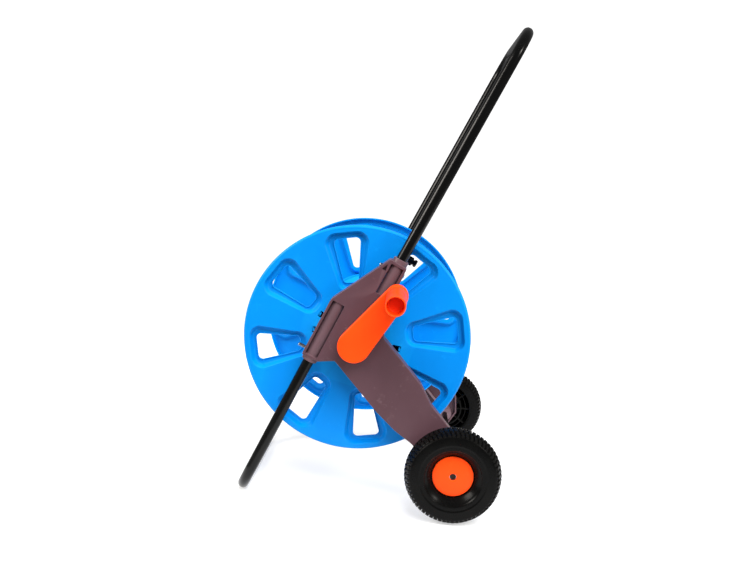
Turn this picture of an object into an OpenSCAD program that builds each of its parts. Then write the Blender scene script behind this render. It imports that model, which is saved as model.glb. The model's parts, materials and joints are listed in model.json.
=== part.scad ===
// Garden hose reel cart: a two-wheeled stand of two moulded side brackets and two bent tubes,
// with a hose reel that turns between the brackets on a short spindle and a water swivel.
// Each sub-part is drawn about the reel axis, which runs along Y through the origin, and
// place() then moves it to the standing frame: floor at Z = 0, centre of the outline at X = Y = 0.

/* [Reel] */
// Diameter of each flange
flange_d = 400; // [380:1:404]
// Distance between the outer faces of the two flanges
flange_gap = 256; // [236:1:260]
// Thickness of a flange sheet
flange_t = 3; // [2.5:0.1:3.5]
// Depth of the turned-in rim of a flange
rim_depth = 12; // [8:1:16]
// Depth of the dished frame around each flange window
dish_depth = 12; // [8:1:14]
// Number of windows in a flange
window_count = 8; // [6:1:8]
// Angle of the first window from the X axis
window_phase = 8; // [0:1:15]
// Outer diameter of the hose drum
drum_d = 164; // [150:1:164]
// Wall of the hose drum
drum_wall = 3; // [2.5:0.1:4]
// Height of the reel axis above the floor
reel_h = 289.5; // [285:0.5:300]

/* [Stand] */
// Outer diameter of the bent tubes
tube_d = 19; // [18:0.5:19]
// Wall of the bent tubes
tube_wall = 1.5; // [1:0.1:2]
// Distance between the two legs of a bent tube, centre to centre
leg_gap = 314; // [310:1:320]
// Radius of the tube bends, on the centre line
bend_r = 55; // [45:1:60]
// Lean of the handle tube from the floor
handle_lean = 63.8; // [63:0.1:65]
// Overall height of the cart, to the top of the handle
cart_h = 833; // [780:1:860]
// Lean of the foot tube from the floor
foot_lean = 64.5; // [64:0.1:66]
// Distance from the reel axis to the foot tube's centre line
foot_offset = 56; // [55:0.5:58]
// Depth of the side brackets at the reel
bracket_depth = 28; // [26:0.5:28]
// Wall of the side brackets
bracket_wall = 3; // [2.5:0.1:3.5]

/* [Crank] */
// Length of the crank arm, axis to axis
crank_len = 112; // [90:1:115]
// Angle of the crank arm from the X axis
crank_angle = 52.6; // [45:0.1:60]
// Length of the crank grip
grip_len = 101; // [85:1:105]

/* [Wheels] */
// Diameter of the wheels
wheel_d = 165; // [160:1:170]
// Width of the wheels
wheel_w = 42; // [40:1:42]
// Distance between the middles of the two wheels
track = 410; // [410:1:420]
// Distance of the axle in front of the reel axis
axle_x = 177; // [172:1:182]
// Diameter of the axle rod
axle_d = 10; // [8:0.5:10]

/* [Hidden] */
$fn = 96;

blue = [0.10, 0.56, 1.0];
plum = [0.44, 0.33, 0.35];
orange = [1.0, 0.39, 0.16];
black = [0.07, 0.07, 0.07];
steel = [0.75, 0.76, 0.78];
zinc = [0.62, 0.63, 0.65];

fit = 0.05;             // radial clearance of a turning fit
gap = 0.3;              // room between pieces that only come close
flange_r = flange_d / 2;
flange_y = flange_gap / 2;
drum_r = drum_d / 2;
tube_r = tube_d / 2;
leg_y = leg_gap / 2;
wheel_r = wheel_d / 2;
wheel_y = track / 2;
axle_r = axle_d / 2;
axle_z = wheel_r - reel_h;

// Lines of the two bent tubes in the side view: a point and a lean
handle_top_z = cart_h - tube_r - reel_h;
handle_top_s = handle_top_z / sin(handle_lean);
handle_end_s = 62;
foot_x = -foot_offset / sin(foot_lean);
foot_bottom_s = (tube_r - reel_h) / sin(foot_lean);
foot_end_s = 70;

// Bracket faces and the levels behind them, as distances from the middle of the cart
face_y = leg_y + 14;
back_y = face_y - bracket_depth;
sleeve_r = tube_r + 2.7;
collar_r = tube_r + 3.9;
collar_len = 12;
upper_collar_s = 152;
lower_collar_s = -38;
slot_half = 11.4;
upper_bolt_s = 140;
lower_bolt_s = -21;
bolt_r = 3;
bolt_tip = 29;
boss_end = 14;
rib_reach = 32;
pocket_depth = 7;
bolt_seat_t = 14;
knob_t = 25;
knob_h = 22;
knob_lobes = 7;

// Reel spindles
journal_r = 18;
hub_disc_r = 38;
hub_disc_t = 4;
journal_end = face_y + 4;
socket_side = 20;
water_r = 6.5;
seal_bore_r = 11;
spigot_r = 10.6;
seal_ys = [flange_y + 22, flange_y + 30];
inlet_r = 30;
inlet_screw_r = 25;
seal_in_r = 8.6;
hub_boss_h = 9;
port_angle = 150;
drum_y = flange_y - flange_t - gap / 3;
socket_in = flange_y + hub_disc_t + 6;
hose_port_y = 86;
port_lift = 22;
slot_in_r = 64;
slot_out_r = drum_r - drum_wall;
slot_w = 11;
split_angle = 158.75;
slot_step = 11.25;
hub_screw_r = 29;
hub_screw_count = 4;
window_in_r = 100;
window_out_r = 178;
window_in_half = 14;
window_out_half = 23;
dish_in_r = 88;
dish_out_r = 187;
dish_in_half = 22;
dish_out_half = 38;

// Crank
crank_back = face_y + 6;
crank_front = crank_back + 18;
crank_hub_r = 28;
crank_tip_r = 19;
crank_skin = 3;
grip_r0 = 17.5;
grip_r1 = 16.4;
grip_wall = 2.2;
grip_cup = 22;
grip_floor_t = 2.5;
grip_post_r = 8.5;
grip_hollow_r = grip_r1 - grip_wall + 0.5;
grip_hollow_len = grip_len - grip_cup - grip_floor_t;
grip_stud_r = 6;
stud_len = crank_front - crank_back + 2 * gap;
crank_x = crank_len * cos(crank_angle);
crank_z = crank_len * sin(crank_angle);

// Wheels and axle
hub_r = 20;
hub_inner = face_y + 2.5;
wheel_out = wheel_y + wheel_w / 2;
wheel_in = wheel_y - wheel_w / 2;
cap_r = 34;
cap_y = wheel_out - 11;
cap_t = 3;
hub_out = wheel_out - 17;
axle_end = hub_out + 2.5;
rib_count = 10;
washer_t = 1.5;
washer_r = 11;

// Extents of the standing cart, which set where its origin lies
x_low = foot_x + foot_bottom_s * cos(foot_lean) - tube_r;
x_high = handle_top_s * cos(handle_lean) + tube_r;
y_low = -(crank_front + grip_len);
y_high = wheel_out;
x_mid = (x_low + x_high) / 2;
y_mid = (y_low + y_high) / 2;

// Moves a piece from the reel axis to the standing frame
module place() translate([-x_mid, -y_mid, reel_h]) children();

// Turns a child whose axis is Z so that its axis runs along -Y, starting at y = y0
module along_y(y0) translate([0, y0, 0]) rotate([90, 0, 0]) children();

// Extrudes a side-view outline (x right, y up) from y0 to y1, with y0 < y1
module slab(y0, y1) translate([0, y1, 0]) rotate([90, 0, 0]) linear_extrude(y1 - y0) children();

// Rod along Y between y0 and y1 at a side-view place
module rod(r, y0, y1, x = 0, z = 0) translate([x, y1, z]) rotate([90, 0, 0]) cylinder(r = r, h = y1 - y0);

// Puts children on a tube line: Z along the tube, X across it towards the wheels
module on_handle(y) translate([0, y, 0]) rotate([0, 90 - handle_lean, 0]) children();
module on_foot(y) translate([foot_x, y, 0]) rotate([0, 90 - foot_lean, 0]) children();

// Rod across a tube line at height s, from t0 to t1
module cross_rod(r, s, t0, t1) translate([t0, 0, s]) rotate([0, 90, 0]) cylinder(r = r, h = t1 - t0);

// Side-view shift of an outline's straight edges inwards by d (outline runs clockwise)
function unit(a, b) = (b - a) / norm(b - a);
function meet(p, u, q, v) = p + u * (cross(q - p, v) / cross(u, v));
function inset(pts, d) = [for (i = [0 : len(pts) - 1])
    let (a = pts[(i + len(pts) - 1) % len(pts)], b = pts[i], c = pts[(i + 1) % len(pts)],
        u = unit(a, b), v = unit(b, c))
    meet(b + d * [u[1], -u[0]], u, b + d * [v[1], -v[0]], v)];

// ---------------------------------------------------------------- bent tubes

// Solid U of radius r: legs up from the start at z = s0, bends, and a bar centred at z = s1
module u_rod(r, s0, s1) {
    for (side = [-1, 1]) {
        translate([0, side * leg_y, s0]) cylinder(r = r, h = s1 - bend_r - s0);
        translate([0, side * (leg_y - bend_r), s1 - bend_r]) rotate([90, 0, side * 90])
            rotate_extrude(angle = 90) translate([bend_r, 0]) circle(r = r);
    }
    translate([0, leg_y - bend_r, s1]) rotate([90, 0, 0]) cylinder(r = r, h = 2 * (leg_y - bend_r));
}

module u_tube(s0, s1) difference() {
    u_rod(tube_r, s0, s1);
    u_rod(tube_r - tube_wall, s0 - 1, s1);
}

module handle_tube() color(black) place() on_handle(0) difference() {
    u_tube(handle_end_s, handle_top_s);
    for (side = [-1, 1]) translate([0, side * leg_y, 0])
        cross_rod(bolt_r + gap, upper_bolt_s, -tube_d, tube_d);
}

module foot_tube() color(black) place() on_foot(0) mirror([0, 0, 1]) difference() {
    u_tube(-foot_end_s, -foot_bottom_s);
    for (side = [-1, 1]) translate([0, side * leg_y, 0])
        cross_rod(bolt_r + gap, -lower_bolt_s, -tube_d, tube_d);
}

// ---------------------------------------------------------------- side brackets

// Outline of a bracket's face, clockwise from the top of the upper collar
bracket_outline = [[54, 148.5], [82, 133.5], [68, 100], [50, 58], [49, 12.5], [80, -22],
    [115, -62], [136, -99], [axle_x + 23, -172], [axle_x + 25, axle_z], [axle_x + 9, axle_z - 24],
    [axle_x - 12, axle_z - 23], [104, -168], [76, -148], [43, -117], [-33, -31], [-64, -34],
    [-90, -22], [-43.5, 75.5]];

// Holder for one leg of a bent tube: round sleeve, end collar and the boss for the clamp bolt
module holder(s0, s1, collar_s, bolt_s) {
    translate([0, 0, s0]) cylinder(r = sleeve_r, h = s1 - s0);
    translate([0, 0, collar_s]) cylinder(r = collar_r, h = collar_len);
    cross_rod(bolt_r + 4, bolt_s, -boss_end, bolt_seat_t + 2);
}

// Recess that frees the round sleeve from the face, between two heights on a tube line
module recess(s0, s1) translate([-slot_half, face_y - leg_y - 7, s0]) cube([2 * slot_half, 9, s1 - s0]);

// Face and side wall, open at the back
module bracket_tray() difference() {
    slab(back_y, face_y) polygon(bracket_outline);
    slab(back_y - 1, face_y - bracket_wall) polygon(inset(bracket_outline, bracket_wall));
    on_handle(leg_y) recess(96, upper_collar_s);
    on_foot(leg_y) recess(lower_collar_s + collar_len - 1, 76);
}

// Stiffening ribs inside the arm: one along it and two across it
module arm_ribs() {
    slab(face_y - 14, face_y - 1) polygon([[14, -14], [17, -11], [axle_x + 1, axle_z + 12],
        [axle_x - 2, axle_z + 9]]);
    for (step = [0.35, 0.65]) translate([step * axle_x, face_y - 12, step * axle_z]) rotate([0, 49.4, 0])
        translate([-1.5, 0, -rib_reach]) cube([3, 11, 2 * rib_reach]);
}

// The bracket of the +Y side, drawn with its face at y = face_y
module bracket_body() difference() {
    union() {
        bracket_tray();
        on_handle(leg_y) holder(93, 158, upper_collar_s, upper_bolt_s);
        on_foot(leg_y) holder(-32, 79, lower_collar_s, lower_bolt_s);
        rod(inlet_r, back_y, face_y - 1);
        rod(14, back_y, face_y - 1, axle_x, axle_z);
        arm_ribs();
        slab(face_y - pocket_depth - 2, face_y - 1) polygon([[36, 129.5], [52, 143], [48.5, 126]]);
    }
    bracket_cuts();
}

// Hole for a clamp bolt, with the seat of its head on the wheel side
module bolt_cut(s, seat_r, seat_end) {
    cross_rod(bolt_r + gap, s, -40, 20);
    cross_rod(seat_r, s, bolt_seat_t, seat_end);
}

module bracket_cuts() {
    on_handle(leg_y) translate([0, 0, handle_end_s - 2]) cylinder(r = tube_r + gap, h = 200);
    on_foot(leg_y) translate([0, 0, -60]) cylinder(r = tube_r + gap, h = foot_end_s + 62);
    on_handle(leg_y) bolt_cut(upper_bolt_s, 7.5, 40);
    on_foot(leg_y) bolt_cut(lower_bolt_s, 5.8, 22);
    rod(journal_r + fit, back_y - 1, face_y + 1);
    rod(axle_r + fit, back_y - 1, face_y + 1, axle_x, axle_z);
    slab(face_y - pocket_depth, face_y + 1) polygon([[40, 131.5], [50, 140], [46.5, 128]]);
}

module far_bracket() color(plum) place() difference() {
    bracket_body();
    inlet_holes() rod(2 + fit, back_y + 3, face_y + 1, inlet_screw_r);
}

module near_bracket() color(plum) place() mirror([0, 1, 0]) bracket_body();

// ---------------------------------------------------------------- clamp hardware

// Bolt across a tube line at height s, its head in the seat on the wheel side and its tip
// standing out of the other side of the bracket
module clamp_bolt(s) {
    cross_rod(bolt_r, s, -bolt_tip, bolt_seat_t + 1);
    cross_rod(bolt_r + 2.2, s, bolt_seat_t + 0.2, bolt_seat_t + 3.2);
}

module clamp_bolts() color(steel) place() {
    on_handle(-leg_y) clamp_bolt(upper_bolt_s);
    for (side = [-1, 1]) on_foot(side * leg_y) clamp_bolt(lower_bolt_s);
}

// Threaded stud that the knob is moulded onto
module knob_stud() color(steel) place() on_handle(leg_y)
    cross_rod(bolt_r, upper_bolt_s, -bolt_tip, knob_t + 16);

// Lobed knob: a neck that bears on the seat, and a ring of finger lobes
module clamp_knob() color(black) place() on_handle(leg_y) difference() {
    translate([0, 0, upper_bolt_s]) rotate([0, 90, 0]) union() {
        translate([0, 0, bolt_seat_t + gap]) cylinder(r = 5.6, h = knob_t - bolt_seat_t);
        translate([0, 0, knob_t]) cylinder(r = 8.4, h = knob_h);
        for (k = [0 : knob_lobes - 1]) rotate([0, 0, k * 360 / knob_lobes])
            translate([7.6, 0, knob_t + 2]) cylinder(r = 2.4, h = knob_h - 4, $fn = 24);
    }
    cross_rod(bolt_r, upper_bolt_s, 0, knob_t + 16);
}

// ---------------------------------------------------------------- reel

// Four-sided outline about the X axis with rounded corners, for the windows and their frames
function arc_points(x, y, r, a0) = [for (k = [0 : 4])
    [x + r * cos(a0 + k * 22.5), y + r * sin(a0 + k * 22.5)]];

module window_outline(r_in, r_out, half_in, half_out, r) polygon(concat(
    arc_points(r_out - r, half_out - r, r, 0), arc_points(r_in + r, half_in - r, r, 90),
    arc_points(r_in + r, r - half_in, r, 180), arc_points(r_out - r, r - half_out, r, 270)));

// Puts children at each of the hub screws, axis Z
module at_hub_screws() for (k = [0 : hub_screw_count - 1]) rotate([0, 0, 45 + k * 360 / hub_screw_count])
    translate([hub_screw_r, 0, 0]) children();

// One flange, axis Z, outer face at z = 0 and the reel side towards +Z
module flange_body() difference() {
    union() {
        difference() {
            cylinder(r = flange_r, h = rim_depth);
            translate([0, 0, flange_t]) cylinder(r = flange_r - flange_t, h = rim_depth);
        }
        difference() {
            cylinder(r = drum_r + 4, h = 9);
            translate([0, 0, flange_t]) cylinder(r = drum_r + gap, h = 9);
        }
        cylinder(r = hub_disc_r - 2, h = hub_boss_h);
        for (k = [0 : window_count - 1]) rotate([0, 0, window_phase + k * 360 / window_count])
            dish_wall();
    }
    for (k = [0 : window_count - 1]) rotate([0, 0, window_phase + k * 360 / window_count])
        dish_hollow();
    for (a = [split_angle, split_angle + 180]) for (m = [-1, 1]) rotate([0, 0, a + m * slot_step])
        translate([slot_in_r, -slot_w / 2, -1]) cube([slot_out_r - slot_in_r, slot_w, flange_t + 2]);
    translate([0, 0, -1]) cylinder(r = journal_r - 4, h = hub_boss_h + 2);
    at_hub_screws() translate([0, 0, -1]) cylinder(r = 2 + fit, h = hub_boss_h + 2, $fn = 32);
}

// Frame around one window, a box with an open outer face and the window in its floor
module dish_wall() linear_extrude(dish_depth)
    window_outline(dish_in_r, dish_out_r, dish_in_half, dish_out_half, 18);

module dish_hollow() {
    translate([0, 0, -1]) linear_extrude(dish_depth - flange_t + 1)
        window_outline(dish_in_r + 3, dish_out_r - 3, dish_in_half - 3, dish_out_half - 3, 15);
    translate([0, 0, -1]) linear_extrude(dish_depth + 2)
        window_outline(window_in_r, window_out_r, window_in_half, window_out_half, 8);
}

// Places a flange-like piece on the near side (-Y) or the far side (+Y) of the reel
module near_side(y) translate([0, -y, 0]) rotate([-90, 0, 0]) mirror([0, 1, 0]) children();
module far_side(y) mirror([0, 1, 0]) near_side(y) children();

module near_flange() color(blue) place() near_side(flange_y) flange_body();
module far_flange() color(blue) place() far_side(flange_y) flange_body();

// Half of the drum shell: a half tube between the flanges, with two hooks at each end
module drum_half(a) rotate([0, -a, 0]) {
    difference() {
        rod(drum_r, -drum_y, drum_y);
        rod(drum_r - drum_wall, -drum_y - 1, drum_y + 1);
        translate([-flange_r, -flange_y, -flange_d]) cube([flange_d, flange_gap, flange_d + gap / 2]);
    }
    for (e = [0, 1]) mirror([0, e, 0]) for (m = [slot_step, 180 - slot_step]) rotate([0, -m, 0]) {
        translate([drum_r - drum_wall - 3, drum_y - 14, -3]) cube([4, 13, 6]);
        translate([drum_r - drum_wall - 3, drum_y - 4, -3]) cube([2.5, 6, 6]);
    }
}

module upper_drum_half() color(blue) place() drum_half(split_angle - 180);

// The lower half has the hole for the hose port
module lower_drum_half() color(blue) place() difference() {
    drum_half(split_angle);
    rotate([0, port_angle, 0]) translate([0, hose_port_y, 0]) cylinder(r = 15, h = flange_r);
}

// Hub disc shared by both spindles: seat on the flange, with screw holes
module hub_disc() difference() {
    cylinder(r = hub_disc_r, h = hub_disc_t);
    at_hub_screws() translate([0, 0, -1]) cylinder(r = 2 + gap, h = hub_disc_t + 2, $fn = 32);
}

// Spindle of the crank side: journal with a square socket for the crank's shank
module drive_spindle() color(black) place() near_side(flange_y + hub_disc_t) difference() {
    union() {
        hub_disc();
        translate([0, 0, flange_y + hub_disc_t - journal_end]) cylinder(r = journal_r,
            h = journal_end - flange_y);
    }
    translate([-socket_side / 2, -socket_side / 2, flange_y + hub_disc_t - journal_end - 1])
        cube([socket_side, socket_side, journal_end - flange_y - 5]);
    translate([0, 0, -hub_disc_t]) cylinder(r = 3 + gap, h = 2 * hub_disc_t + 1);
}

// Spindle of the water side: journal with a water way that bends out to the hose port on the drum
module water_spindle() color(black) place() difference() {
    union() {
        far_side(flange_y + hub_disc_t) hub_disc();
        rod(journal_r, flange_y + 1, journal_end);
        rod(journal_r - 4 - gap, hose_port_y - 13, flange_y + 2);
        rotate([0, port_angle, 0]) translate([0, hose_port_y, 0]) {
            cylinder(r = 11, h = drum_r - 6);
            cylinder(r = 8, h = drum_r + port_lift);
            translate([0, 0, drum_r + 8]) cylinder(r = 9.5, h = 3);
        }
    }
    rod(seal_bore_r, flange_y + 8, journal_end + 1);
    rod(water_r, hose_port_y - 4, flange_y + 9);
    rotate([0, port_angle, 0]) translate([0, hose_port_y, 0])
        cylinder(r = water_r - 1, h = drum_r + port_lift + 1);
}

// Screws that hold the hub discs to the flanges
module hub_screw_set() at_hub_screws() {
    translate([0, 0, -2.1]) cylinder(r = 4, h = 2, $fn = 32);
    translate([0, 0, -2]) cylinder(r = 2, h = hub_disc_t + hub_boss_h + 2, $fn = 32);
}

module hub_screws() color(zinc) place() {
    near_side(flange_y + hub_disc_t) hub_screw_set();
    far_side(flange_y + hub_disc_t) hub_screw_set();
}

// Two seal rings in the grooves of the fixed inlet spigot, rubbing in the turning water spindle
module ring_at_seals(r0, r1, w) for (y = seal_ys) translate([0, y, 0]) rotate([90, 0, 0])
    rotate_extrude() translate([r0, -w / 2]) square([r1 - r0, w]);

module swivel_seals() color(black) place() ring_at_seals(seal_in_r + fit, seal_bore_r - fit, 2.4);

// Puts a child at each of the three inlet screws, about the reel axis
module inlet_holes() for (k = [0 : 2]) rotate([0, 90 + k * 120, 0]) children();

// Inlet: cap over the spindle's end, spigot into the spindle and a hose nipple outwards
module inlet_connector() color(black) place() difference() {
    union() {
        difference() {
            rod(inlet_r, face_y, journal_end + 5);
            rod(journal_r + 2, face_y - 1, journal_end + 1);
        }
        rod(13, journal_end + 2, journal_end + 17);
        rod(8, journal_end + 2, wheel_out - 4);
        rod(9.5, wheel_out - 17, wheel_out - 14);
        rod(spigot_r, flange_y + 14, journal_end + 2);
    }
    ring_at_seals(seal_in_r, seal_bore_r + 1, 2.6);
    rod(water_r - 2.2, flange_y, wheel_out);
    inlet_holes() rod(2 + gap, face_y - 1, journal_end + 6, inlet_screw_r);
}

module inlet_screws() color(zinc) place() inlet_holes() {
    rod(4, journal_end + 5, journal_end + 7, inlet_screw_r);
    rod(2, face_y - 10, journal_end + 6, inlet_screw_r);
}

// ---------------------------------------------------------------- crank

// Outline of the crank arm: two ends of different radii joined by straight sides
module crank_outline(less) hull() {
    circle(r = crank_hub_r - less, $fn = 64);
    translate([crank_x, crank_z]) circle(r = crank_tip_r - less, $fn = 64);
}

module crank_arm() color(orange) place() difference() {
    union() {
        slab(-crank_front, -crank_back) crank_outline(0);
        slab(-crank_back - 2, -socket_in) square(socket_side - 2 * fit, center = true);
    }
    difference() {
        slab(-crank_front + crank_skin, -crank_back + 1) crank_outline(crank_skin);
        rod(16, -crank_front, -crank_back + 2);
        rod(12, -crank_front, -crank_back + 2, crank_x, crank_z);
        slab(-crank_front, -crank_back + 2) polygon([[-1.5, 0], [crank_x - 1.5, crank_z],
            [crank_x + 1.5, crank_z], [1.5, 0]]);
    }
    rod(2.5 + fit, -crank_front + 4, -socket_in + 1);
    rod(grip_stud_r + fit, -crank_front - 1, -crank_back + 1, crank_x, crank_z);
}

// Screw that draws the crank's shank into the spindle, put in from inside the drum
module crank_screw() color(zinc) place() {
    rod(2.5, -crank_front + 10, -flange_y + 1);
    rod(6, -flange_y, -flange_y + 3.5);
}

// Grip with a shallow cup at its free end, hollow round a middle post, with a stud that turns
// in the end of the arm
module crank_grip() color(orange) place() translate([crank_x, -crank_front - gap, crank_z]) rotate([90, 0, 0])
    difference() {
        union() {
            cylinder(r1 = grip_r0, r2 = grip_r1, h = grip_len - gap);
            translate([0, 0, -stud_len]) cylinder(r = grip_stud_r, h = stud_len + 2);
        }
        translate([0, 0, grip_len - grip_cup]) cylinder(r = grip_r1 - grip_wall, h = grip_len);
        difference() {
            translate([0, 0, -1]) cylinder(r = grip_hollow_r, h = grip_hollow_len + 1);
            translate([0, 0, -stud_len]) cylinder(r = grip_post_r, h = grip_len + stud_len);
        }
        translate([0, 0, -stud_len - 1]) cylinder(r = 2 + fit, h = 16);
    }

// Screw and washer that keep the grip's stud in the arm
module grip_screw() color(zinc) place() {
    rod(9, -crank_back + gap, -crank_back + gap + 1.5, crank_x, crank_z);
    rod(2, -crank_back - 12, -crank_back + 1, crank_x, crank_z);
}

// ---------------------------------------------------------------- axle and wheels

// Things that sit on the axle: children are drawn once on each side of the cart
module both_sides() for (m = [0, 1]) mirror([0, m, 0]) children();

module axle_rod() color(steel) place() rod(axle_r, -axle_end, axle_end, axle_x, axle_z);

// Washer between a bracket and its wheel
module axle_washers() color(zinc) place() both_sides() difference() {
    rod(washer_r, face_y + gap / 2, face_y + gap / 2 + washer_t, axle_x, axle_z);
    rod(axle_r + fit, face_y, face_y + 10, axle_x, axle_z);
}

// Push-on clip that keeps a wheel on the axle
module axle_clips() color(steel) place() both_sides() difference() {
    union() {
        rod(9, hub_out + gap, hub_out + gap + 1.2, axle_x, axle_z);
        rod(axle_r + 1.6, hub_out + gap, hub_out + gap + 2, axle_x, axle_z);
    }
    rod(axle_r + fit, hub_out - 1, hub_out + 10, axle_x, axle_z);
}

// Section of the wheel, from the inner side to the outer side: x is the radius, y the width
tread_r = [wheel_r - 5, wheel_r - 2, wheel_r, wheel_r - 2, wheel_r - 6];
wheel_section = concat(
    [[54, 0], [wheel_r - 9, 0]],
    [for (k = [0 : len(tread_r) - 1]) [tread_r[k], 3 + k * (wheel_w - 6) / (len(tread_r) - 1)]],
    [[wheel_r - 9, wheel_w], [57, wheel_w], [55, wheel_w - 1.5], [48, wheel_w - 2.5],
        [36, wheel_w - 13], [36, wheel_w - 17], [axle_r + 3, wheel_w - 17], [axle_r + 3, wheel_w - 20],
        [40, wheel_w - 20], [54, wheel_w - 6]]);

module wheel_body() difference() {
    union() {
        rotate_extrude($fn = 128) polygon(wheel_section);
        translate([0, 0, hub_inner - wheel_in]) cylinder(r = hub_r - 6, h = hub_out - hub_inner);
        translate([0, 0, 2]) difference() {
            cylinder(r = 38, h = wheel_w - 21);
            translate([0, 0, -1]) cylinder(r = 35, h = wheel_w);
        }
        for (k = [0 : rib_count - 1]) rotate([0, 0, k * 360 / rib_count]) intersection() {
            translate([hub_r - 7, -1.2, 2]) cube([56 - hub_r + 7, 2.4, wheel_w - 21]);
            cylinder(r = 55, h = wheel_w);
        }
    }
    translate([0, 0, -20]) cylinder(r = axle_r + fit, h = wheel_w + 40);
}

module far_wheel() color(black) place() translate([axle_x, wheel_in, axle_z])
    rotate([-90, 0, 0]) wheel_body();
module near_wheel() color(black) place() mirror([0, 1, 0]) translate([axle_x, wheel_in, axle_z])
    rotate([-90, 0, 0]) wheel_body();

// Cap that snaps into the wheel's recess, with a hole over the axle's end
module cap() translate([axle_x, cap_y, axle_z]) rotate([90, 0, 0]) difference() {
    union() {
        cylinder(r = cap_r, h = cap_t);
        difference() {
            cylinder(r = cap_r - 6, h = cap_y - wheel_in - wheel_w + 17 - gap / 3);
            translate([0, 0, -1]) cylinder(r = cap_r - 9, h = 20);
        }
    }
    translate([0, 0, -1]) cylinder(r = axle_r + 1, h = 20);
}

module far_hub_cap() color(orange) place() cap();
module near_hub_cap() color(orange) place() mirror([0, 1, 0]) cap();

near_bracket();
far_bracket();
handle_tube();
foot_tube();
clamp_bolts();
clamp_knob();
knob_stud();
near_flange();
far_flange();
upper_drum_half();
lower_drum_half();
drive_spindle();
water_spindle();
hub_screws();
swivel_seals();
inlet_connector();
inlet_screws();
crank_arm();
crank_screw();
crank_grip();
grip_screw();
axle_rod();
axle_washers();
axle_clips();
near_wheel();
far_wheel();
near_hub_cap();
far_hub_cap();
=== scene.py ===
import json
from math import acos, atan2, cos, degrees, hypot, pi, radians, sin

import bmesh
import bpy
from mathutils import Matrix, Vector, geometry

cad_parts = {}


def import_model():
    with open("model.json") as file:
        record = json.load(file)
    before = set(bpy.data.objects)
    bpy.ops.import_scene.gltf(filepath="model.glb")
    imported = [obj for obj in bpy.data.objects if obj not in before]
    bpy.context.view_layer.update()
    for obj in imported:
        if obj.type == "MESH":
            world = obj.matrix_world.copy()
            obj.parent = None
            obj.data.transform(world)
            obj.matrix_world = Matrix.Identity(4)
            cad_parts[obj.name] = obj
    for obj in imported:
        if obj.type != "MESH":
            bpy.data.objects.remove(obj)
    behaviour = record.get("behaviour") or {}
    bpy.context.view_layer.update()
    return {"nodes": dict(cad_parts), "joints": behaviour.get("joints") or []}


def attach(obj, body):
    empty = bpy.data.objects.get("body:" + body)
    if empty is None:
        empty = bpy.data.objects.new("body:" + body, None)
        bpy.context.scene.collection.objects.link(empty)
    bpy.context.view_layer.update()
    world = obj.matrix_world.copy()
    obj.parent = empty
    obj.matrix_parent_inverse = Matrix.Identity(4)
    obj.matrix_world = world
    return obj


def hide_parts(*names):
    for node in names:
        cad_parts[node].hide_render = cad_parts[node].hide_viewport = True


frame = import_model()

JOINTS = {j["name"]: j for j in frame["joints"]}
AXIS = Vector(JOINTS["reel_spin"]["pos_m"])
WHEEL = (Vector(JOINTS["far_wheel_spin"]["pos_m"]) - AXIS) * 1000
GRIP = (Vector(JOINTS["grip_spin"]["pos_m"]) - AXIS) * 1000

# Sizes in millimetres and angles in degrees about the reel axis, as in the CAD
FLANGE_Y, WALL = 128, 3
WINDOWS, WINDOW_TURN = 8, 8
DRUM_RING = (82.3, 86)
FLANGE_HUB = (14, 36)
LEG_Y, FACE_Y, BACK_DEPTH = 157, 171, 28
HANDLE_LEAN, FOOT_LEAN, FOOT_OFFSET = 63.8, 64.5, 56
FOOT_X0 = -FOOT_OFFSET / sin(radians(FOOT_LEAN))
TUBE_R, TUBE_WALL, BEND_R = 9.5, 1.5, 55
HANDLE_S, FOOT_S = (62, 595.13), (70, -310.21)
SLEEVE_R, COLLAR_R, BORE_R = 12.2, 13.4, 9.8
HANDLE_BOLT_S, FOOT_BOLT_S, BOLT_R, BOLT_TIP = 140, -21, 3, -29
HUB_BORE_R, AXLE_BORE_R = 18.05, 5.05
ARM_FACE_Y, ARM_T = 195, 18
ARM_TIP_R, ARM_HUB_R = 19, 28
WHEEL_IN, WHEEL_MID = 184, 21


# ------------------------------------------------------------ mesh tools

def world(p):
    return (AXIS.x + p[0] / 1000, AXIS.y + p[1] / 1000, AXIS.z + p[2] / 1000)


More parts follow.
